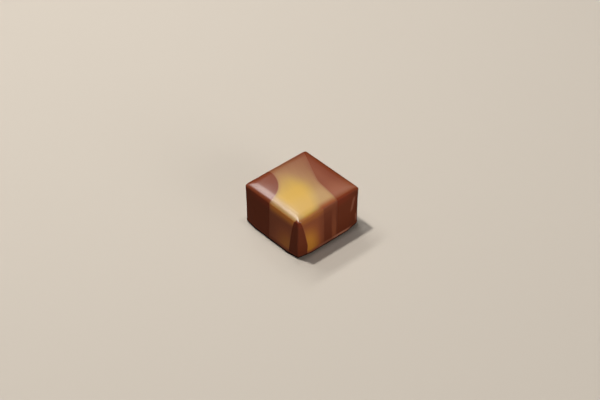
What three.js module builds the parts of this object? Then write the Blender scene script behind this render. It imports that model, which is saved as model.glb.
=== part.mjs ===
// A moulded chocolate praline: one solid block with a nearly square plan, walls that lean in slightly towards the
// top, a low crown with a rounded edge, a thin lip round the foot, and a shallow pleat of two facets on each vertical
// ridge. Millimetres, +Z up. The origin is the middle of the flat base, and the walls face along X and Y.
import * as THREE from 'three';

// Driving dimensions
const LENGTH = 25.2; // along X, between the walls at the foot
const WIDTH = 24.8; // along Y, between the walls at the foot
const HEIGHT = 15.4; // from the base to the middle of the top
const TOP_SHARE = 0.968; // size of the plan at the top, as a share of the plan at the foot
const CROWN = 0.4; // how far the middle of the top swells above the shoulder
const CROWN_POWER = 4; // a high power keeps the middle of the crown nearly flat
const ROUND_IN = 2.8; // how far the rounded top edge reaches in over the top
const ROUND_DOWN = 1.2; // how far the rounded top edge reaches down the wall from the shoulder
const FOOT_IN = 0.5; // how far the rounded foot edge reaches in under the block
const FOOT_UP = 0.7; // how far the rounded foot edge reaches up the wall
const LIP_OUT = 0.08; // how far the lip stands out of the wall
const LIP_HEIGHT = 1.05; // middle of the lip above the base
const LIP_REACH = 0.45; // from the lip's middle to where it meets the wall
const RIDGE_RADIUS = 0.5; // rounding of each vertical ridge along the walls
const CORNER_RADIUS = 0.4; // rounding of the plan's corners on the top face
const PLEAT_WIDTH = 4.8; // of each facet at the foot, measured along its wall from the corner
const PLEAT_PULL_X = 0.5; // how far the ridge is pulled in along X at the foot
const PLEAT_PULL_Y = 0.8; // how far the ridge is pulled in along Y at the foot
const PLEAT_POWER = 0.72; // below 1 the pleat widens quickly under the top and slowly near the foot
const PLEAT_START = 0.3; // the pleat's tip lies this far above the shoulder

// Fineness of the surface, in steps
const RIDGE_STEPS = 6;
const BEND_STEPS = 2;
const SIDE_STEPS = 6;
const FOOT_STEPS = 4;
const LIP_STEPS = 6;
const WALL_STEPS = 7;
const FILLET_STEPS = 8;
const TOP_STEPS = 6;

const SHOULDER = HEIGHT - CROWN; // the height that the top would have without its crown
const QUARTER = Math.PI / 2;

/** How far the pleat has opened at a height up to the shoulder: almost nothing at the top and 1 at the foot. */
function pleatShare(z) {
  return ((SHOULDER + PLEAT_START - z) / (SHOULDER + PLEAT_START)) ** PLEAT_POWER;
}

/** The share of the foot's plan that the leaning walls leave at a height. */
function wallShare(z) {
  return 1 - (1 - TOP_SHARE) * (z / SHOULDER);
}

/** How far the lip stands out at a height: a smooth hump. */
function lipOut(z) {
  const reach = Math.min(Math.abs(z - LIP_HEIGHT) / LIP_REACH, 1);
  return LIP_OUT * Math.cos(reach * QUARTER) ** 2;
}

/** How far the crown lifts a point of the top: nothing at the walls, all of it in the middle, and smooth between. */
function crownRise({ x, y }) {
  const fall = (place, half) => Math.max(1 - Math.abs(place / half) ** CROWN_POWER, 0);
  return CROWN * fall(x, (LENGTH / 2) * TOP_SHARE) * fall(y, (WIDTH / 2) * TOP_SHARE);
}

/** The stops of one rounding in the plan, evenly turned about its middle. */
function arcStops({ x, y, from, to, steps }, radius) {
  const stops = [];
  for (let step = 0; step <= steps; step += 1) {
    const angle = THREE.MathUtils.lerp(from, to, step / steps);
    stops.push(new THREE.Vector2(x + radius * Math.cos(angle), y + radius * Math.sin(angle)));
  }
  return stops;
}

/**
 * One level of the outline, anticlockwise from above. Each corner has three arcs: where the wall bends into the first
 * facet, over the ridge, and where the second facet bends into the next wall. Stops along that wall follow them.
 */
function outline({ z, inset, radius, crowned = false }) {
  const sideX = { half: (LENGTH / 2) * wallShare(z) - inset - radius, pull: PLEAT_PULL_X * pleatShare(z) };
  const sideY = { half: (WIDTH / 2) * wallShare(z) - inset - radius, pull: PLEAT_PULL_Y * pleatShare(z) };
  const width = PLEAT_WIDTH * pleatShare(z);
  const points = [];
  for (let corner = 0; corner < 4; corner += 1) {
    const [near, far] = corner % 2 === 0 ? [sideX, sideY] : [sideY, sideX];
    const nearBend = Math.atan2(near.pull, width - far.pull);
    const farBend = QUARTER - Math.atan2(far.pull, width - near.pull);
    const arcs = [
      { x: near.half, y: far.half - width, from: 0, to: nearBend, steps: BEND_STEPS },
      { x: near.half - near.pull, y: far.half - far.pull, from: nearBend, to: farBend, steps: RIDGE_STEPS },
      { x: near.half - width, y: far.half, from: farBend, to: QUARTER, steps: BEND_STEPS },
    ];
    const stops = arcs.flatMap((arc) => arcStops(arc, radius));
    for (let step = 1; step < SIDE_STEPS; step += 1) {
      stops.push(new THREE.Vector2((near.half - width) * (1 - (2 * step) / SIDE_STEPS), far.half + radius));
    }
    for (const stop of stops) {
      stop.rotateAround(new THREE.Vector2(), corner * QUARTER);
      points.push(new THREE.Vector3(stop.x, stop.y, crowned ? z + crownRise(stop) : z));
    }
  }
  return points;
}

/** The levels from the base's edge up to the top face's edge: foot, lip, wall and rounded top edge. */
function levels() {
  const list = [];
  for (let step = 0; step < FOOT_STEPS; step += 1) {
    const angle = (step / FOOT_STEPS) * QUARTER;
    const z = FOOT_UP * (1 - Math.cos(angle));
    list.push({ z, inset: FOOT_IN * (1 - Math.sin(angle)) - lipOut(z), radius: RIDGE_RADIUS });
  }
  const lipTop = LIP_HEIGHT + LIP_REACH;
  for (let step = 0; step < LIP_STEPS; step += 1) {
    const z = THREE.MathUtils.lerp(FOOT_UP, lipTop, step / LIP_STEPS);
    list.push({ z, inset: -lipOut(z), radius: RIDGE_RADIUS });
  }
  const wallTop = SHOULDER - ROUND_DOWN;
  for (let step = 0; step < WALL_STEPS; step += 1) {
    list.push({ z: THREE.MathUtils.lerp(lipTop, wallTop, step / WALL_STEPS), inset: 0, radius: RIDGE_RADIUS });
  }
  for (let step = 0; step <= FILLET_STEPS; step += 1) {
    const angle = (step / FILLET_STEPS) * QUARTER;
    const z = wallTop + ROUND_DOWN * Math.sin(angle);
    const inset = ROUND_IN * (1 - Math.cos(angle));
    const radius = THREE.MathUtils.lerp(RIDGE_RADIUS, CORNER_RADIUS, step / FILLET_STEPS);
    list.push({ z, inset, radius, crowned: true });
  }
  return list;
}

/** The top face's rings, drawn in from its edge towards the middle and raised by the crown. */
function crownRings(edge) {
  const rings = [];
  for (let step = 1; step < TOP_STEPS; step += 1) {
    const ring = edge.map((point) => point.clone().multiplyScalar(1 - step / TOP_STEPS));
    rings.push(ring.map(({ x, y }) => new THREE.Vector3(x, y, SHOULDER + crownRise({ x, y }))));
  }
  return rings;
}

/** A closed skin through rings of equal length, from the base's middle point to the top's. */
function closedSkin(rings, bottom, top) {
  const around = rings[0].length;
  const points = [bottom, ...rings.flat(), top];
  const at = (ring, step) => 1 + ring * around + (step % around);
  const triangles = [];
  for (let step = 0; step < around; step += 1) {
    triangles.push(0, at(0, step + 1), at(0, step));
    for (let ring = 0; ring + 1 < rings.length; ring += 1) {
      triangles.push(at(ring, step), at(ring, step + 1), at(ring + 1, step + 1));
      triangles.push(at(ring, step), at(ring + 1, step + 1), at(ring + 1, step));
    }
    triangles.push(at(rings.length - 1, step), at(rings.length - 1, step + 1), points.length - 1);
  }
  const geometry = new THREE.BufferGeometry().setFromPoints(points);
  geometry.setIndex(triangles);
  geometry.computeVertexNormals();
  return geometry;
}

function makePraline() {
  const sides = levels().map(outline);
  const rings = [...sides, ...crownRings(sides.at(-1))];
  const chocolate = new THREE.MeshStandardMaterial({ color: 0x5c2c1d, roughness: 0.32, metalness: 0 });
  const base = new THREE.Vector3(0, 0, 0);
  const crown = new THREE.Vector3(0, 0, HEIGHT);
  const praline = new THREE.Mesh(closedSkin(rings, base, crown), chocolate);
  praline.name = 'praline';
  return praline;
}

const object = new THREE.Group();
object.add(makePraline());

export default object;
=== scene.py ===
# %% [markdown]
# # A chocolate praline
#
# A praline of this kind is cast in a polished mould: thin coloured cocoa butter goes in first, chocolate
# follows, and the block drops out upside down with a gloss that copies the mould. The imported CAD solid
# gives its size and place. This lesson dresses that solid: one fine surface for the block, one layered
# material for the chocolate and its yellow film, and a small studio to look at it in.

import bpy
import numpy as np
from mathutils import Matrix, Vector


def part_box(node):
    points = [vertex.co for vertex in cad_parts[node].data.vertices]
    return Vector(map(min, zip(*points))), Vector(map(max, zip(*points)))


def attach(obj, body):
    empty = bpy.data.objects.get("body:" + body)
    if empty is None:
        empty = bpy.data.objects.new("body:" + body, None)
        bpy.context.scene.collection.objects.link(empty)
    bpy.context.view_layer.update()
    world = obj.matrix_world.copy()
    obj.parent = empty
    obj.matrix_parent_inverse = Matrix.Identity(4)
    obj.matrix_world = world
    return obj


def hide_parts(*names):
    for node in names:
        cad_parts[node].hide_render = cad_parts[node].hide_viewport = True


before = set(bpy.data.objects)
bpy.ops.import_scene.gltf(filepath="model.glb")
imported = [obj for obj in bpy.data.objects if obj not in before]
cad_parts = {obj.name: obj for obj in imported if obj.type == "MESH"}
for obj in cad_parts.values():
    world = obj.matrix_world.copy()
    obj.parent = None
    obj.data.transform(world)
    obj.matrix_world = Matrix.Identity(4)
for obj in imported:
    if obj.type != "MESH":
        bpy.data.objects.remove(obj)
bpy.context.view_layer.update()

# %% [markdown]
# ## The block's sizes
#
# The solid's own box gives the length, width and height, so the fine surface can't drift from it. The
# smaller forms are few: a low crown with a rounded edge, a rounded foot with a thin lip above it, and a
# pleat of two facets on every vertical ridge, which opens towards the foot. Everything is worked out in
# millimetres and turned into metres at the end.

# %% Sizes in millimetres
MM = 0.001
TOP_SHARE = 0.968  # size of the plan at the top, as a share of the plan at the foot
CROWN = 0.40  # how far the middle of the top swells above the shoulder
CROWN_POWER = 4  # a high power keeps the middle of the crown nearly flat
ROUND_IN = 2.8  # the rounded top edge, in over the top
ROUND_DOWN = 1.2  # the rounded top edge, down the wall
FOOT_IN = 0.5  # the rounded foot, in under the block
FOOT_UP = 0.7  # the rounded foot, up the wall
LIP_OUT = 0.08  # how far the lip stands out of the wall
LIP_HEIGHT = 1.05  # of the lip's middle above the base
LIP_REACH = 0.45  # from the lip's middle to where it meets the wall
RIDGE_RADIUS = 0.5  # of each vertical ridge, along the walls
CORNER_RADIUS = 0.4  # of each corner of the plan, on the top
PLEAT_WIDTH = 4.8  # of each facet at the foot, along its wall
PLEAT_DEPTH_X = 0.50  # how far the ridge is pulled in at the foot
PLEAT_DEPTH_Y = 0.80
PLEAT_POWER = 0.72  # below 1 the pleat widens quickly under the top
PLEAT_START = 0.3  # the pleat's tip lies this far above the shoulder

box_low, box_high = (np.array(corner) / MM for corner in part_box("praline"))
box_size = box_high - box_low
HEIGHT = box_size[2]
SHOULDER = HEIGHT - CROWN
LEAN = (1 - TOP_SHARE) / SHOULDER
LENGTH, WIDTH = (box_size[:2] - 2 * LIP_OUT) / (1 - LEAN * LIP_HEIGHT)
PLEAT_TIP = SHOULDER + PLEAT_START
print(f"foot {LENGTH:.2f} by {WIDTH:.2f} mm, height {HEIGHT:.2f} mm")

# %% [markdown]
# ## The climb, one parameter of the surface
#
# Think of a needle that starts at the middle of the base, runs out to the foot, climbs the wall, bends
# over the top edge and runs in to the middle of the top. Each stop has a height, an inset from the wall,
# a ridge radius and a spread, which is 1 on the sides and falls to 0 at the two middle points. A sculpted
# or bevelled cube could look much the same, but here each form keeps its own number. The top is still
# flat at this point: its crown is added later.

# %% Stops of the climb
BASE_STOPS = 14
FOOT_STOPS = 12
LIP_STOPS = 16
WALL_STOPS = 44
EDGE_STOPS = 28
TOP_STOPS = 44
RIGHT_ANGLE = np.pi / 2


def lip_out(z):
    """A smooth hump round the lip's height: the squared cosine of the distance over the lip's reach."""
    reach = np.minimum(np.abs(z - LIP_HEIGHT) / LIP_REACH, 1)
    return LIP_OUT * np.cos(reach * RIGHT_ANGLE) ** 2


def climb():
    """Height, inset, ridge radius and spread for every stop, from the base's middle to the top's middle."""
    outward = np.linspace(0, 1, BASE_STOPS)
    foot_turn = np.linspace(0, RIGHT_ANGLE, FOOT_STOPS)[1:]
    edge_turn = np.linspace(0, RIGHT_ANGLE, EDGE_STOPS)[1:]
    wall_top = SHOULDER - ROUND_DOWN
    lip = np.linspace(FOOT_UP, LIP_HEIGHT + LIP_REACH, LIP_STOPS)[1:]
    wall = np.linspace(lip[-1], wall_top, WALL_STOPS)[1:]
    side = np.concatenate([lip, wall])
    inward = np.linspace(1, 0, TOP_STOPS)[1:]
    height = np.concatenate([
        np.zeros_like(outward),
        FOOT_UP * (1 - np.cos(foot_turn)),
        side,
        wall_top + ROUND_DOWN * np.sin(edge_turn),
        np.full_like(inward, SHOULDER),
    ])
    inset = np.concatenate([
        np.full_like(outward, FOOT_IN),
        FOOT_IN * (1 - np.sin(foot_turn)),
        np.zeros_like(side),
        ROUND_IN * (1 - np.cos(edge_turn)),
        np.full_like(inward, ROUND_IN),
    ])
    over_top = np.clip(inset / ROUND_IN, 0, 1) * (height > wall_top)
    radius = RIDGE_RADIUS + (CORNER_RADIUS - RIDGE_RADIUS) * over_top
    spread = np.concatenate([outward, np.ones(len(foot_turn) + len(side) + len(edge_turn)), inward])
    return height, inset - lip_out(height), radius, spread


height, inset, radius, spread = climb()
print(len(height), "stops on the climb")

# %% [markdown]
# ## The plan, the other parameter
#
# Seen from above, one corner of the block runs from the middle of a wall to the middle of the next: wall,
# bend, facet, ridge, facet, bend, wall. The outline is a disk of the ridge's radius rolled round a sharp
# inner outline, so each stop on it has a disk centre and a direction. Both change evenly between eight
# stations, and each station says how much of the near wall, the far wall, the pleat's width and the
# pleat's depth goes into its centre.

# %% Stops round the plan
STRETCH_STEPS = [24, 5, 14, 12, 14, 5, 24]


def corner_plan(near_pull, far_pull):
    """Values at the stops of one corner, evenly spaced between neighbouring stations."""
    near_bend = np.arctan2(near_pull, PLEAT_WIDTH - far_pull)
    far_bend = RIGHT_ANGLE - np.arctan2(far_pull, PLEAT_WIDTH - near_pull)
    # Columns: near wall, width off it, depth off it, far wall, width off it, depth off it, direction
    stations = np.array([
        [1, 0, 0, 0, 0, 0, 0],
        [1, 0, 0, 1, 1, 0, 0],
        [1, 0, 0, 1, 1, 0, near_bend],
        [1, 0, near_pull, 1, 0, far_pull, near_bend],
        [1, 0, near_pull, 1, 0, far_pull, far_bend],
        [1, 1, 0, 1, 0, 0, far_bend],
        [1, 1, 0, 1, 0, 0, RIGHT_ANGLE],
        [0, 0, 0, 1, 0, 0, RIGHT_ANGLE],
    ])
    place = np.concatenate([k + np.arange(steps) / steps for k, steps in enumerate(STRETCH_STEPS)])
    station = np.arange(len(stations))
    return np.stack([np.interp(place, station, column) for column in stations.T])


print(4 * sum(STRETCH_STEPS), "stops round the plan")

# %% [markdown]
# ## The surface
#
# Every pair of stops gives one point. The same corner is worked out four times, a quarter turn further on
# each time, with length and width changing places. The crown then lifts the top as one smooth swelling
# over the plan, because rings that rose one by one would leave hip lines from corner to corner. A last
# touch adds a wave far thinner than a hair: a cast wall is never optically flat, and it is the
# reflections that show it.

# %% Points of the block
WAVE = 0.012  # how far the wave moves the wall
WAVES_AROUND = 5
WAVE_SLANT = 0.9  # radians for each millimetre of height
WAVE_RISE = 0.45


def pleat_open(z):
    """How far the pleat has opened: a power of the depth below its tip, 1 at the base."""
    return ((PLEAT_TIP - z) / PLEAT_TIP) ** PLEAT_POWER


def crown_rise(plan):
    """How far the crown lifts the top: one less a power of the way to the wall, on X times on Y."""
    half_top = np.array([LENGTH, WIDTH]) / 2 * TOP_SHARE
    fall = np.maximum(1 - np.abs(plan / half_top) ** CROWN_POWER, 0)
    return CROWN * fall[..., 0] * fall[..., 1]


def block_points():
    """Disk centre plus radius along the direction, on a grid of climb by plan, turned to each corner."""
    column = (slice(None), None)
    wall_share = 1 - LEAN * height[column]
    opened = pleat_open(height)[column]
    width = PLEAT_WIDTH * opened
    corners = []
    for quarter_turns in range(4):
        halves = np.array([LENGTH / 2, WIDTH / 2])
        pulls = np.array([PLEAT_DEPTH_X, PLEAT_DEPTH_Y])
        if quarter_turns % 2 == 1:
            halves, pulls = halves[::-1], pulls[::-1]
        near_wall, near_width, near_depth, far_wall, far_width, far_depth, direction = corner_plan(*pulls)
        near, far = (half * wall_share - inset[column] - radius[column] for half in halves)
        x = near * near_wall - width * near_width - opened * near_depth + radius[column] * np.cos(direction)
        y = far * far_wall - width * far_width - opened * far_depth + radius[column] * np.sin(direction)
        turn = quarter_turns * RIGHT_ANGLE
        turned = [x * np.cos(turn) - y * np.sin(turn), x * np.sin(turn) + y * np.cos(turn)]
        corners.append(np.stack(turned, axis=-1))
    plan = np.concatenate(corners, axis=1)
    around = np.arctan2(plan[..., 1], plan[..., 0])
    wave = np.sin(WAVES_AROUND * around + WAVE_SLANT * height[column]) * np.sin(WAVE_RISE * height[column])
    wave = WAVE * wave * (spread[column] == 1)
    reach = np.linalg.norm(plan, axis=-1, keepdims=True)
    plan = plan * (1 - wave[..., None] / np.maximum(reach, 1)) * spread[:, None, None]
    over_wall = height[column] > SHOULDER - ROUND_DOWN
    z = height[column] + crown_rise(plan) * over_wall
    return np.concatenate([plan, z[..., None]], axis=-1)


grid = block_points()
print("grid of", grid.shape[0], "by", grid.shape[1], "points")

# %% [markdown]
# ## From grid to mesh
#
# The first and last rows of the grid are single points, the middles of base and top. They become two pole
# vertices with a fan of triangles each, and the rows between are joined by four-sided faces. Going round
# anticlockwise and upwards makes every face point outwards.

# %% The praline's mesh
def skin_mesh(name, points):
    """A closed mesh through a grid whose rows go round, and whose first and last rows are poles."""
    rows, around = points.shape[0] - 2, points.shape[1]
    ring = np.arange(rows * around).reshape(rows, around)
    after = np.roll(ring, -1, axis=1)
    vertices = np.concatenate([points[1:-1].reshape(-1, 3), points[0, :1], points[-1, :1]]) * MM
    bottom = np.full(around, rows * around)
    quads = np.stack([ring[:-1], after[:-1], after[1:], ring[1:]], axis=-1).reshape(-1, 4)
    base_fan = np.stack([bottom, after[0], ring[0]], axis=-1)
    top_fan = np.stack([ring[-1], after[-1], bottom + 1], axis=-1)
    mesh = bpy.data.meshes.new(name)
    mesh.from_pydata(vertices.tolist(), [], quads.tolist() + base_fan.tolist() + top_fan.tolist())
    mesh.polygons.foreach_set("use_smooth", np.ones(len(mesh.polygons), bool))
    mesh.validate()
    return mesh


praline = bpy.data.objects.new("praline_skin", skin_mesh("praline_skin", grid))
bpy.context.scene.collection.objects.link(praline)
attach(praline, "root")
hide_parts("praline")
print(len(praline.data.vertices), "vertices,", len(praline.data.polygons), "faces")

# %% [markdown]
# ## A way to write formulas as nodes
#
# The film's edges are curves across the plan, so they are formulas of the point's own x, y and z.
# Blender's Math nodes can hold any formula, but a tree of a few hundred of them is hard to read. A small
# class lets Python's own signs place the nodes: adding two fields adds a Math node. Most of what follows
# is made of one more thing, a smooth step from 0 to 1 between two places. Several steps in a row make
# terraces, a level that changes here and there. In the cells below, most pairs of numbers are a step's
# start and end in millimetres, and a level followed by triples is a set of terraces.

# %% Fields
class Field:
    """A number that changes over the surface: a socket whose arithmetic adds Math nodes to its tree."""

    def __init__(self, socket):
        self.socket = socket

    def math(self, operation, other=None):
        """A Math node on this field and, where there is one, on another field or a number."""
        tree = self.socket.id_data
        node = tree.nodes.new("ShaderNodeMath")
        node.operation = operation
        tree.links.new(self.socket, node.inputs[0])
        if isinstance(other, Field):
            tree.links.new(other.socket, node.inputs[1])
        elif other is not None:
            node.inputs[1].default_value = other
        return Field(node.outputs[0])

    def __add__(self, other):
        return self.math("ADD", other)

    def __sub__(self, other):
        return self.math("SUBTRACT", other)

    def __mul__(self, other):
        return self.math("MULTIPLY", other)

    def __pow__(self, other):
        return self.math("POWER", other)

    def __abs__(self):
        return self.math("ABSOLUTE")

    def above(self, other):
        """The larger of two."""
        return self.math("MAXIMUM", other)

    def below(self, other):
        """The smaller of two."""
        return self.math("MINIMUM", other)

    def flip(self):
        """What a share leaves of 1."""
        return self * -1.0 + 1.0

    def step(self, start, end):
        """A smooth step: 0 before start, 1 after end, and the other way round where end is the smaller."""
        tree = self.socket.id_data
        node = tree.nodes.new("ShaderNodeMapRange")
        node.interpolation_type = "SMOOTHSTEP"
        tree.links.new(self.socket, node.inputs["Value"])
        node.inputs["From Min"].default_value = start
        node.inputs["From Max"].default_value = end
        return Field(node.outputs["Result"])

    def between(self, rise, fall):
        """1 between a step up and a step down, each a pair of places."""
        return self.step(*rise) * self.step(*fall)

    def terraces(self, first, *steps):
        """A first level plus smooth steps, each a start, an end and the amount that it adds."""
        level = self * 0.0 + first
        for start, end, amount in steps:
            level = level + self.step(start, end) * amount
        return level


def point_fields(tree):
    """The point's x, y and z in millimetres, from Object coordinates."""
    place = tree.nodes.new("ShaderNodeTexCoord").outputs["Object"]
    split = tree.nodes.new("ShaderNodeSeparateXYZ")
    tree.links.new(place, split.inputs[0])
    return [Field(output) * (1 / MM) for output in split.outputs]


print("fields ready")

# %% [markdown]
# ## Noise and colour
#
# Three more helpers turn fields into a look: soft noise for the streaks that wiping leaves, a ramp that
# gives each thickness of film its colour, and one colour laid over another.

# %% Noise, ramps and layers
def noise_field(tree, x, y, z):
    """Smooth noise between about 0 and 1, one cell for each unit of the three fields."""
    join = tree.nodes.new("ShaderNodeCombineXYZ")
    for field, slot in zip((x, y, z), join.inputs):
        tree.links.new(field.socket, slot)
    noise = tree.nodes.new("ShaderNodeTexNoise")
    noise.inputs["Scale"].default_value = 1.0
    noise.inputs["Detail"].default_value = 2.0
    tree.links.new(join.outputs[0], noise.inputs["Vector"])
    return Field(noise.outputs["Fac"])


def colour_ramp(tree, share, stops):
    """A colour for each share: straight lines between stops, each a share and its colour."""
    node = tree.nodes.new("ShaderNodeValToRGB")
    elements = node.color_ramp.elements
    elements[0].position, elements[1].position = stops[0][0], stops[-1][0]
    for place, _ in stops[1:-1]:
        elements.new(place)
    for element, (_, colour) in zip(elements, stops):
        element.color = (*colour, 1)
    tree.links.new(share.socket, node.inputs["Fac"])
    return node.outputs["Color"]


def colour_over(tree, under, share, over):
    """The colour under, with another laid over it by a share between 0 and 1."""
    mix = tree.nodes.new("ShaderNodeMix")
    mix.data_type = "RGBA"
    tree.links.new(share.socket, mix.inputs["Factor"])
    for slot, colour in (("A", under), ("B", over)):
        if isinstance(colour, tuple):
            mix.inputs[slot].default_value = (*colour, 1)
        else:
            tree.links.new(colour, mix.inputs[slot])
    return mix.outputs["Result"]


print("layers ready")

# %% [markdown]
# ## Where the film lies
#
# The coloured cocoa butter was wiped through the mould in one broad swath. It leaves a bare round lobe in
# one corner of the top and a bare side with a bowed edge, and it thins out close to the lobe. It also
# skips the pleats, which the wiping could not reach. All of this is worked out in the plan, so the top
# and the walls meet by themselves. In the plan, front is towards -Y, left is towards -X and the bare side
# is towards +X. The camera looks at the front left corner, so it has the -X wall at its left and the -Y
# wall at its right, and they are called the left and the right wall.

# %% The swath's edges
LOBE_CENTRE = (-12.53, 11.15)
LOBE_RADII = (9.22, 10.49)
LOBE_EDGE = (0.95, 1.06)  # in squared shares of the radii, as is the rim
LOBE_RIM = (0.78, (1.0, 1.28, 0.22))
BARE_SIDE = {"middle": -2.49, "at_middle": 3.83, "tilt": 0.285, "bow": 0.2055, "softness": 1.56}
BARE_SIDE_EDGE = (-0.5, 0.5)
BARE_TIP = 14.9  # height of a bare pleat's tip
BARE_X = {"width": 4.52, "power": 0.575, "most": 3.78}
BARE_Y = {"width": 4.12, "power": 0.33, "foot_width": 0.5, "foot_power": 4.0}


def bowed(y, middle, at_middle, tilt, bow, softness):
    """A hyperbola x of y: at_middle plus a straight tilt plus a bow that bends within the softness."""
    from_middle = y - middle
    return from_middle * tilt + (from_middle * from_middle + softness**2) ** 0.5 * bow + at_middle


def swath_share(x, y):
    """1 in the swath, less by the lobe's rim, 0 in the lobe, an ellipse, and past the bowed edge."""
    from_x = (x - LOBE_CENTRE[0]) * (1 / LOBE_RADII[0])
    from_y = (y - LOBE_CENTRE[1]) * (1 / LOBE_RADII[1])
    lobe = from_x**2.0 + from_y**2.0
    beside_bare = bowed(y, **BARE_SIDE) - x
    return lobe.step(*LOBE_EDGE) * lobe.terraces(*LOBE_RIM) * beside_bare.step(*BARE_SIDE_EDGE)


def wall_gaps(x, y, z):
    """Distance in plan from the nearer of the two X walls, and from the nearer of the two Y walls."""
    gap_x = abs(x) * -1.0 + z * (-LEAN * LENGTH / 2) + LENGTH / 2
    gap_y = abs(y) * -1.0 + z * (-LEAN * WIDTH / 2) + WIDTH / 2
    return gap_x, gap_y


def from_pleat(gap_x, gap_y, z):
    """Distance in plan from a bare pleat's edge, whose widths are powers of the depth below its tip."""
    depth = (z * (-1 / BARE_TIP) + 1.0).above(0.0)
    along_x = (depth ** BARE_X["power"] * BARE_X["width"]).below(BARE_X["most"])
    along_y = depth ** BARE_Y["power"] * BARE_Y["width"]
    wider_foot = depth ** BARE_Y["foot_power"] * BARE_Y["foot_width"]
    return (gap_x - along_x).above(gap_y - (along_y + wider_foot))


print("lobe of", LOBE_RADII, "mm, bare side", BARE_SIDE["at_middle"], "mm right of the middle")

# %% [markdown]
# ## Film on the top
#
# On the top the film is thickest, and so the purest yellow, towards the front corner. It thins to a milky
# tan towards the bare side and the back. So the film is one field, its thickness, and colour follows from
# it. Along the left and front edges it is rubbed thinner, and there a little milk clouds it.

# %% Thickness on the top
TAN_LEVEL = 0.335
TAN_SLOPE = -0.013  # for each millimetre towards the back
TAN_BEND = -0.0008  # for each square millimetre behind the middle
TO_BARE_START = 3.0  # from here on the film thins towards the bare side
TO_BARE_SLOPE = (0.0, (9.0, 3.0, -0.04), (6.0, 9.0, -0.011))
YELLOW_LEVEL = 0.91
YELLOW_SLOPE = -0.072
FRONT_LEVEL = 0.93  # the yellow keeps below this line towards the front
FRONT_SLOPE = -0.018
YELLOW_EDGE = 0.5
YELLOW_EDGE_BEND = -0.042
YELLOW_SOFTNESS = (2.9, -3.1)
LEFT_RUB = (0.5, (-11.4, -8.4, 0.5))
FRONT_RUB = (0.7, (-11.8, -10.0, 0.3))
STREAK_SHARE = 0.08
STREAK_MIDDLE = 0.5  # of the noise, where a streak changes nothing
MILK_RISE = (-2.0, -8.0)
MILK_FALL = (-11.9, -10.6)
MILK_ALONG_FRONT = (0.1, (4.0, 1.5, 0.2), (-1.0, -4.0, -0.08))
MILK_AT_LEFT = (0.0, (-8.0, -9.5, 0.12))


def top_film(x, y, streak):
    """Thickness on the top: a tan and a yellow level, both thinner towards the back, and a soft step."""
    to_back = y.above(0.0)
    to_front = y.below(0.0)
    to_bare = (x - TO_BARE_START).above(0.0)
    tan = y * TAN_SLOPE + to_back * to_back * TAN_BEND + to_bare * y.terraces(*TO_BARE_SLOPE) + TAN_LEVEL
    yellow = (y * YELLOW_SLOPE + YELLOW_LEVEL).below(y * FRONT_SLOPE + FRONT_LEVEL)
    yellow_edge = to_front * to_front * YELLOW_EDGE_BEND + YELLOW_EDGE
    yellow_share = (x - yellow_edge).step(*YELLOW_SOFTNESS)
    rubbed = x.terraces(*LEFT_RUB) * y.terraces(*FRONT_RUB)
    return (tan + (yellow - tan) * yellow_share + (streak - STREAK_MIDDLE) * STREAK_SHARE) * rubbed


def milk_share(x, y):
    """How milky the film is: most along the front edge, and a little along the left one."""
    return y.between(MILK_RISE, MILK_FALL) * x.terraces(*MILK_ALONG_FRONT) + x.terraces(*MILK_AT_LEFT)


print("top film from", TAN_LEVEL, "in the tan to", YELLOW_LEVEL, "in the yellow")

# %% [markdown]
# ## Film on the walls
#
# Down the walls the wiped film is much thinner and goes on as upright stripes. It gathers under the top
# edge and into a golden patch low beside the front pleat, and it ends above the foot. The right wall has
# a gap and one more narrow stripe near the bare side.

# %% Thickness on the walls
RIGHT_ALONG = (0.20, (-2.5, -5.0, 0.13))
RIGHT_UP = (0.0, (11.5, 14.0, 0.35), (13.8, 14.6, -0.2))
RIGHT_GOLD_REACH = (6.5, 1.0)
RIGHT_GOLD_DOWN = (0.0, (13.0, 5.0, 0.70))
RIGHT_END = (-1.9, -2.5)
RIGHT_FOOT = (0.3, 2.3)
STRIPE_PLACE = 1.8
STRIPE_SIDES = (1.2, 0.5)
STRIPE_DOWN = (0.13, (12.0, 3.0, 0.14))
UNDER_EDGE_UP = (0.0, (8.5, 11.0, 0.06), (11.5, 13.8, 0.17), (14.2, 14.7, 0.12))
UNDER_EDGE_END = (4.5, 2.5)
LEFT_LEVEL = 0.23
LEFT_UP = (0.0, (10.6, 13.4, 0.65))
LEFT_UP_END = (9.0, 5.0)
LEFT_GOLD_REACH = (8.5, 1.0)
LEFT_GOLD_DOWN = (0.0, (12.0, 3.0, 0.45))
LEFT_FOOT = (0.4, 2.6)


def right_wall_film(x, z, beside_pleat):
    """The largest of three: the broad stripe with its gold, the narrow stripe, the film under the edge."""
    gold = beside_pleat.step(*RIGHT_GOLD_REACH) * z.terraces(*RIGHT_GOLD_DOWN)
    broad = (x.terraces(*RIGHT_ALONG) + z.terraces(*RIGHT_UP) + gold) * x.step(*RIGHT_END)
    narrow = abs(x - STRIPE_PLACE).step(*STRIPE_SIDES) * z.terraces(*STRIPE_DOWN)
    under_edge = z.terraces(*UNDER_EDGE_UP) * x.step(*UNDER_EDGE_END)
    return broad.above(narrow).above(under_edge) * z.step(*RIGHT_FOOT)


def left_wall_film(y, z, beside_pleat):
    """An even level, more under the top edge and more low beside the pleat."""
    under_edge = z.terraces(*LEFT_UP) * y.step(*LEFT_UP_END)
    gold = beside_pleat.step(*LEFT_GOLD_REACH) * z.terraces(*LEFT_GOLD_DOWN)
    return (under_edge + gold + LEFT_LEVEL) * z.step(*LEFT_FOOT)


def wall_film(x, y, z, beside_pleat, on_right):
    """The left wall's film, which the hidden walls share, and the right wall's own."""
    left = left_wall_film(y, z, beside_pleat)
    return left + (right_wall_film(x, z, beside_pleat) - left) * on_right


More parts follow.
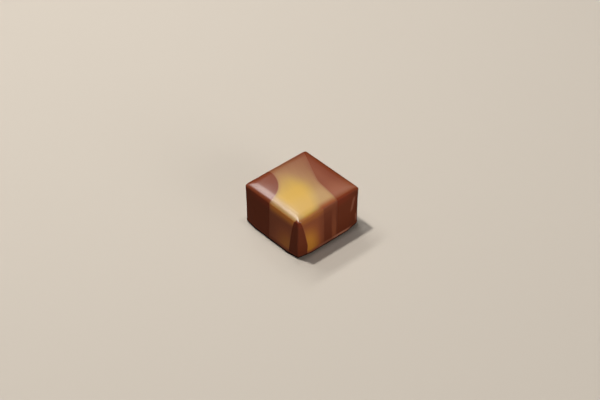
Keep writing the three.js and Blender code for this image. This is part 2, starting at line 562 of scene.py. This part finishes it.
print("wall film:", LEFT_LEVEL, "left and", RIGHT_ALONG[0], "right, and more by the front pleat")

# %% [markdown]
# ## Colours of chocolate and film
#
# Film of different thickness lets more or less of the chocolate through. Two ramps turn thickness into
# colour: on the top the film is milky, on the walls it is clear enough to let the chocolate glow. A mix
# of two whole shaders could do this as well, but a ramp shows each colour by itself.

# %% Colours
CHOCOLATE = (0.205, 0.0445, 0.0165)
TOP_COLOURS = [
    (0.00, CHOCOLATE),
    (0.15, (0.266, 0.099, 0.038)),
    (0.35, (0.345, 0.170, 0.064)),
    (0.56, (0.430, 0.250, 0.066)),
    (0.75, (0.505, 0.305, 0.055)),
    (1.00, (0.605, 0.362, 0.047)),
]
WALL_COLOURS = [
    (0.00, CHOCOLATE),
    (0.20, (0.300, 0.078, 0.031)),
    (0.33, (0.365, 0.098, 0.037)),
    (0.46, (0.430, 0.122, 0.036)),
    (0.76, (0.575, 0.203, 0.036)),
    (1.00, (0.690, 0.275, 0.036)),
]
MILK = (0.600, 0.420, 0.220)
print(len(TOP_COLOURS), "colours on the top,", len(WALL_COLOURS), "on the walls")

# %% [markdown]
# ## Painted light on the bare chocolate
#
# The light on the bare chocolate is partly painted into its colour. On the bare side of the top it is
# painted lighter beside the swath and towards the front edge, and on the walls it is painted warmer and
# lighter close under the top edge. They could be painted by hand, but as shares made of steps they keep
# their places in millimetres.

# %% Painted light on the bare chocolate
# Painted light: the bare side of the top is painted lighter beside the swath and towards the front edge.
TOP_LIGHT_COLOUR = (0.290, 0.090, 0.042)
TOP_LIGHT_BY_SWATH = (0.0, (9.5, 6.5, 0.35))
TOP_LIGHT_TO_FRONT = (0.0, (-3.0, -11.0, 0.85))
TOP_LIGHT_START = (2.0, 4.0)
TOP_LIGHT_END = (-11.6, -11.1)
# Painted light: the bare walls are painted warmer and lighter close under the top edge.
EDGE_LIGHT_COLOUR = (0.300, 0.047, 0.018)
EDGE_LIGHT_UP = (0.0, (11.0, 13.8, 0.65))
EDGE_LIGHT_LEFT_END = (10.0, 7.0)
EDGE_LIGHT_RIGHT_END = (10.5, 6.5)


def painted_top_light(x, y):
    """Share of the painted light: beside the swath plus towards the front, on the bare side only."""
    top_light = x.terraces(*TOP_LIGHT_BY_SWATH) + y.terraces(*TOP_LIGHT_TO_FRONT)
    return top_light * x.step(*TOP_LIGHT_START) * y.step(*TOP_LIGHT_END)


def painted_edge_light(x, y, z):
    """Share of the painted edge light: a step up the wall, ended before the two far corners."""
    return z.terraces(*EDGE_LIGHT_UP) * y.step(*EDGE_LIGHT_LEFT_END) * x.step(*EDGE_LIGHT_RIGHT_END)


print("haze from", TOP_LIGHT_START[0], "mm, warmth from", EDGE_LIGHT_UP[1][0], "mm up")

# %% [markdown]
# ## Pale lines and painted highlights
#
# Three places on the right wall are painted paler: a line along the lip, the crease where that wall bends
# into the pleat at the right corner, and the low end of the ridge there. On the crease and the ridge the
# paler colour is a painted highlight. Each place is a line with soft sides, cut off at both ends.

# %% Pale lines and painted highlights
PALE_LINE_COLOUR = (0.600, 0.240, 0.145)
LIP_LINE_HEIGHT = LIP_HEIGHT + 0.15
LIP_LINE_SIDES = (0.55, 0.15)
LIP_LINE_WALL = (-11.6, -12.0)
LIP_LINE_ALONG = (0.0, (-7.0, -3.0, 0.35), (0.5, 3.0, 0.55))
LIP_LINE_END = (9.8, 6.2)
# Painted highlight along the crease of the right pleat
CREASE_FOOT = 6.9  # where the crease's line meets the base
CREASE_SLANT = 0.267  # sideways for each millimetre up
CREASE_SIDES = (0.75, 0.2)
CREASE_RISE = (6.6, 8.2)
CREASE_FALL = (12.6, 11.2)
CREASE_SHARE = 0.38
# Painted highlight at the low end of the right ridge
LOW_RIDGE_PLACE = 11.2
LOW_RIDGE_SIDES = (0.6, 0.15)
LOW_RIDGE_RISE = (1.6, 2.6)
LOW_RIDGE_FALL = (5.4, 4.4)
LOW_RIDGE_SHARE = 0.4


def pale_lines_and_highlights(x, y, z, on_right):
    """Shares of the three places: a step on the distance from each line, times steps that end it."""
    lip = abs(z - LIP_LINE_HEIGHT).step(*LIP_LINE_SIDES) * y.step(*LIP_LINE_WALL)
    lip = lip * x.terraces(*LIP_LINE_ALONG) * x.step(*LIP_LINE_END)
    # The crease and the low ridge are painted highlights
    crease = abs(x - z * CREASE_SLANT - CREASE_FOOT).step(*CREASE_SIDES)
    crease = crease * z.between(CREASE_RISE, CREASE_FALL) * on_right * CREASE_SHARE
    low_ridge = abs(x - LOW_RIDGE_PLACE).step(*LOW_RIDGE_SIDES)
    low_ridge = low_ridge * z.between(LOW_RIDGE_RISE, LOW_RIDGE_FALL) * on_right * LOW_RIDGE_SHARE
    return [lip, crease, low_ridge]


print("rubbed lip at", LIP_LINE_HEIGHT, "mm up, crease from", CREASE_FOOT, "mm right of the middle")

# %% [markdown]
# ## Amber and shade
#
# Two last touches on the walls. Clear film glows amber in a narrow band close under the left top edge.
# And where little light gets in, the chocolate is darker: at the high end of the right ridge, low on the
# left wall, and at the foot all round.

# %% Amber and shade
AMBER = (0.950, 0.220, 0.030)
AMBER_RISE = (12.0, 13.2)
AMBER_FALL = (14.4, 13.7)
AMBER_WALL = (-11.4, -11.9)
AMBER_SHARE = 0.3
SHADE = (0.040, 0.011, 0.006)
HIGH_RIDGE_START = (10.6, 11.4)
HIGH_RIDGE_RISE = (5.0, 6.5)
HIGH_RIDGE_FALL = (14.0, 12.5)
HIGH_RIDGE_SHARE = 0.35
LEFT_SHADE_DOWN = (0.0, (2.4, 0.9, 0.35))
LEFT_SHADE_WALL = (-11.4, -12.0)
FOOT_SHADE_DOWN = (0.0, (1.0, 0.6, 0.8))


def edge_amber(x, z, film):
    """Share of the amber: a band of heights on the left wall, where there is film."""
    return z.between(AMBER_RISE, AMBER_FALL) * x.step(*AMBER_WALL) * film * AMBER_SHARE


def shaded_places(x, z, on_right):
    """Shares of the three shades, each a step or a band of heights times a step towards its wall."""
    high_ridge = x.step(*HIGH_RIDGE_START) * z.between(HIGH_RIDGE_RISE, HIGH_RIDGE_FALL)
    left_wall = z.terraces(*LEFT_SHADE_DOWN) * x.step(*LEFT_SHADE_WALL)
    foot = z.terraces(*FOOT_SHADE_DOWN)
    return [high_ridge * on_right * HIGH_RIDGE_SHARE, left_wall, foot]


print("amber from", AMBER_RISE[0], "mm up, foot's shade below", FOOT_SHADE_DOWN[1][0], "mm")

# %% [markdown]
# ## Where top and walls meet
#
# The colours of the top and of the walls meet in the rounded edge. In the middle of the front edge the
# film is rubbed, so there the wall's colour climbs further in. The streaks that wiping leaves are noise,
# drawn out along the wiping.

# %% Edge and streaks
TOP_EDGE = (13.65, 14.4)
FRONT_EDGE = (-12.2, -10.95)
RUBBED_FRONT_EDGE = (-11.9, -9.7)
RUBBED_FRONT_START = (-4.0, -2.0)
RUBBED_FRONT_END = (3.8, 1.8)
STREAK_ACROSS = (0.85, -0.3)  # noise cells for each millimetre of x and of y
STREAK_ALONG = (0.05, 0.09)
STREAK_UP = 0.03


def top_share(x, y, z):
    """How much of the top's colour shows: a step up the rounded edge, and one from the front edge in."""
    front = y.step(*FRONT_EDGE)
    rubbed_front = y.step(*RUBBED_FRONT_EDGE)
    rubbed_share = x.between(RUBBED_FRONT_START, RUBBED_FRONT_END)
    return z.step(*TOP_EDGE) * (front + (rubbed_front - front) * rubbed_share)


def wiping_streaks(tree, x, y, z):
    """Noise whose cells are long along the wiping and narrow across it."""
    across = x * STREAK_ACROSS[0] + y * STREAK_ACROSS[1]
    along = x * STREAK_ALONG[0] + y * STREAK_ALONG[1]
    return noise_field(tree, across, along, z * STREAK_UP)


print("top's colour from", TOP_EDGE[0], "mm up")

# %% [markdown]
# ## The chocolate
#
# One Principled shader is enough: chocolate is a plain dark body with a thin gloss. The film is a little
# duller than the bare chocolate, and the scraped base is duller still, so roughness follows both.

# %% The material
RIDGE_BLEND = (-0.3, 0.3)
RIGHT_SIDE = (0.0, -4.0)
PLEAT_EDGE = (-0.15, 0.2)
ROUGHNESS = 0.25
FILM_ROUGHNESS = 0.10
BASE_ROUGHNESS = (0.0, (0.1, 0.02, 0.35))


def make_chocolate():
    """Colour: the top's over the walls', then the marks. Roughness: a level plus film's and base's."""
    material = bpy.data.materials.new("chocolate")
    material.use_nodes = True
    tree = material.node_tree
    shader = tree.nodes["Principled BSDF"]
    x, y, z = point_fields(tree)
    gap_x, gap_y = wall_gaps(x, y, z)
    on_right = (gap_x - gap_y).step(*RIDGE_BLEND) * y.step(*RIGHT_SIDE)
    beside_pleat = from_pleat(gap_x, gap_y, z)
    film = swath_share(x, y) * beside_pleat.step(*PLEAT_EDGE)
    on_top = top_film(x, y, wiping_streaks(tree, x, y, z))
    top_colour = colour_ramp(tree, on_top * film, TOP_COLOURS)
    top_colour = colour_over(tree, top_colour, milk_share(x, y) * film, MILK)
    # Painted light on the bare side of the top
    top_colour = colour_over(tree, top_colour, painted_top_light(x, y) * film.flip(), TOP_LIGHT_COLOUR)
    on_walls = wall_film(x, y, z, beside_pleat, on_right)
    wall_colour = colour_ramp(tree, on_walls * film, WALL_COLOURS)
    # Painted light on the bare walls, close under the top edge
    wall_colour = colour_over(tree, wall_colour, painted_edge_light(x, y, z) * film.flip(), EDGE_LIGHT_COLOUR)
    colour = colour_over(tree, wall_colour, top_share(x, y, z), top_colour)
    # Laid last: the amber band, the pale lines and painted highlights, and the painted shade.
    marks = [(edge_amber(x, z, film), AMBER)]
    marks += [(share, PALE_LINE_COLOUR) for share in pale_lines_and_highlights(x, y, z, on_right)]
    marks += [(share, SHADE) for share in shaded_places(x, z, on_right)]
    for share, mark_colour in marks:
        colour = colour_over(tree, colour, share, mark_colour)
    tree.links.new(colour, shader.inputs["Base Color"])
    roughness = z.terraces(*BASE_ROUGHNESS) + film * FILM_ROUGHNESS + ROUGHNESS
    tree.links.new(roughness.socket, shader.inputs["Roughness"])
    shader.inputs["Specular IOR Level"].default_value = 0.5
    return material


praline.data.materials.append(make_chocolate())
print("chocolate nodes:", len(praline.data.materials[0].node_tree.nodes))

# %% [markdown]
# ## Floor
#
# A plain pale floor under the block. It is stage, not part of the object. It glows very faintly by
# itself, which fills the deepest shade of the shadow, but not close to the block, where the contact has
# to stay dark. It throws no light back at the block: the cards in the next step do that, so each can be
# tuned alone.

# %% The floor
FLOOR_HALF = 2.0
FLOOR_COLOUR = (0.53, 0.49, 0.44)
FLOOR_GLOW = 0.10
FLOOR_GLOW_START = (-0.3, 2.0)  # in millimetres from the block


def make_floor():
    """A flat square. Its glow is a step on the distance in plan from the block."""
    corners = np.array([[-1, -1, 0], [1, -1, 0], [1, 1, 0], [-1, 1, 0]]) * FLOOR_HALF
    mesh = bpy.data.meshes.new("floor")
    mesh.from_pydata(corners.tolist(), [], [[0, 1, 2, 3]])
    floor = bpy.data.objects.new("floor", mesh)
    bpy.context.scene.collection.objects.link(floor)
    material = bpy.data.materials.new("pale_floor")
    material.use_nodes = True
    shader = material.node_tree.nodes["Principled BSDF"]
    shader.inputs["Base Color"].default_value = (*FLOOR_COLOUR, 1)
    shader.inputs["Roughness"].default_value = 0.9
    shader.inputs["Specular IOR Level"].default_value = 0.1
    shader.inputs["Emission Color"].default_value = (*FLOOR_COLOUR, 1)
    x, y, _ = point_fields(material.node_tree)
    from_block = (abs(x) - LENGTH / 2).above(abs(y) - WIDTH / 2)
    glow = from_block.step(*FLOOR_GLOW_START) * FLOOR_GLOW
    material.node_tree.links.new(glow.socket, shader.inputs["Emission Strength"])
    mesh.materials.append(material)
    floor.visible_glossy = False
    floor.visible_diffuse = False
    return floor


make_floor()
print("floor", 2 * FLOOR_HALF, "m wide")

# %% [markdown]
# ## Kinds of lamp
#
# A glossy praline shows what it mirrors, so the lamps here are rectangles, which look like windows in the
# gloss. A lamp is placed in one of three ways: along a direction from the block, between two points, or
# flat on the floor, as a card that lights the walls and isn't seen in them.

# %% Kinds of lamp
WARM_WHITE = (1.0, 0.95, 0.88)
CARD_LIFT = 0.0005


def add_area(name, size, watts, colour):
    """A rectangular lamp, not yet in its place. Sizes are in metres."""
    lamp = bpy.data.lights.new(name, "AREA")
    lamp.shape = "RECTANGLE"
    lamp.size, lamp.size_y = size
    lamp.energy = watts
    lamp.color = colour
    holder = bpy.data.objects.new(name, lamp)
    bpy.context.scene.collection.objects.link(holder)
    return holder


def add_lamp(name, towards, distance, size, watts, colour=WARM_WHITE):
    """A lamp at a distance along a direction from the middle of the block's top, facing it."""
    holder = add_area(name, size, watts, colour)
    unit = Vector(towards).normalized()
    holder.location = Vector((0, 0, HEIGHT * MM)) + unit * distance
    holder.rotation_euler = unit.to_track_quat("Z", "Y").to_euler()
    return holder


def add_strip(name, start, end, width, watts, colour):
    """A long lamp between two end points, turned about its length until it faces the block."""
    along = Vector(end) - Vector(start)
    holder = add_area(name, (along.length, width), watts, colour)
    holder.location = (Vector(start) + Vector(end)) / 2
    x_axis = along.normalized()
    away = holder.location - Vector((0, 0, HEIGHT * MM))
    z_axis = (away - x_axis * away.dot(x_axis)).normalized()
    holder.rotation_euler = Matrix((x_axis, z_axis.cross(x_axis), z_axis)).transposed().to_euler()
    return holder


def add_card(name, centre, size, watts):
    """A lit card on the floor that shines up: light for the walls, but nothing to see or to mirror."""
    holder = add_area(name, size, watts, WARM_WHITE)
    holder.location = (*centre, CARD_LIFT)
    holder.rotation_euler = (np.pi, 0, 0)
    holder.visible_camera = False
    holder.visible_glossy = False
    return holder


print("lamps are", WARM_WHITE, "where nothing else is said")

# %% [markdown]
# ## Light
#
# The key lamp stands high above the block, a little behind it and to the left. So the top is bright, the
# left wall gets only grazing light, the right wall is in shade and the shadow falls to the right. A long
# strip behind is mirrored as the bright line along the rounded left edge. Two large dim veils stand where
# the top mirrors them and lay a soft sheen on it. A far lamp in front of the right wall keeps that wall
# readable, and the two cards shine up at the walls as a pale floor would. The spark is there for its
# reflection alone, the small glint on the tip of the front ridge.

# %% Lamps
add_lamp(
    "key",
    towards=(-0.138, 0.293, 0.946),
    distance=0.9,
    size=(0.05, 0.05),
    watts=5.4,
    colour=(1.0, 0.95, 0.885),
)
add_strip(
    "strip",
    start=(-0.188, 0.3531, 0.515),
    end=(0.275, 0.3969, 0.515),
    width=0.07,
    watts=1.715,
    colour=(1.0, 0.975, 0.925),
)
add_lamp("veil_back", towards=(0.51, 0.57, 0.64), distance=0.8, size=(0.35, 0.35), watts=0.12)
add_lamp("veil", towards=(0.51, 0.20, 0.83), distance=0.8, size=(0.40, 0.40), watts=0.47)
add_lamp("far_right", towards=(0.10, -0.95, 0.30), distance=0.9, size=(0.40, 0.40), watts=2.6)
spark = add_lamp("spark", towards=(-0.30, 0.05, 0.95), distance=0.9, size=(0.05, 0.05), watts=8.5)
spark.visible_diffuse = False
add_card("right_card", centre=(0.0, -0.090), size=(0.26, 0.145), watts=0.051)
add_card("left_card", centre=(-0.0328, 0.0), size=(0.040, 0.20), watts=0.0068)

# %% [markdown]
# ## Sky
#
# A dim, even sky lifts what no lamp reaches. The Standard view leaves the colours as they were set, where
# a film-like view would fade the yellow.

# %% The sky
SKY_COLOUR = (1.0, 0.97, 0.94)
SKY_STRENGTH = 0.02
world = bpy.data.worlds.new("soft_sky")
world.use_nodes = True
sky = world.node_tree.nodes["Background"]
sky.inputs["Color"].default_value = (*SKY_COLOUR, 1)
sky.inputs["Strength"].default_value = SKY_STRENGTH
bpy.context.scene.world = world
bpy.context.scene.view_settings.view_transform = "Standard"
print("sky strength", SKY_STRENGTH)

# %% [markdown]
# ## Camera
#
# The view angle and the lens were found by fitting the block's outline to the picture. The camera keeps
# its axis at the picture's middle, so the point it aims at is moved sideways until the block sits where
# the picture has it.

# %% The camera
AZIMUTH = np.radians(-41.89)
ELEVATION = np.radians(40.17)
CAMERA_DISTANCE = 0.520
PICTURE_SIZE = np.array([600, 400])
PIXELS_PER_METRE = 3338.0
MARK = np.array([0, 0, 0.007])
MARK_PIXEL = np.array([301.93, 204.70])


def make_camera():
    """Stands along the view direction from a target that puts the mark on its pixel."""
    right = np.array([np.cos(AZIMUTH), np.sin(AZIMUTH), 0])
    back = np.array([
        np.sin(AZIMUTH) * np.cos(ELEVATION),
        -np.cos(AZIMUTH) * np.cos(ELEVATION),
        np.sin(ELEVATION),
    ])
    up = np.cross(back, right)
    off_x, off_y = (MARK_PIXEL - PICTURE_SIZE / 2) / PIXELS_PER_METRE
    target = MARK - right * off_x + up * off_y
    data = bpy.data.cameras.new("camera")
    data.sensor_width = 36.0
    data.lens = PIXELS_PER_METRE * CAMERA_DISTANCE * data.sensor_width / PICTURE_SIZE[0]
    data.clip_start = 0.01
    camera = bpy.data.objects.new("camera", data)
    camera.location = target + back * CAMERA_DISTANCE
    camera.rotation_euler = Vector(back).to_track_quat("Z", "Y").to_euler()
    bpy.context.scene.collection.objects.link(camera)
    bpy.context.scene.camera = camera
    return camera


print("lens in mm:", round(make_camera().data.lens, 1))
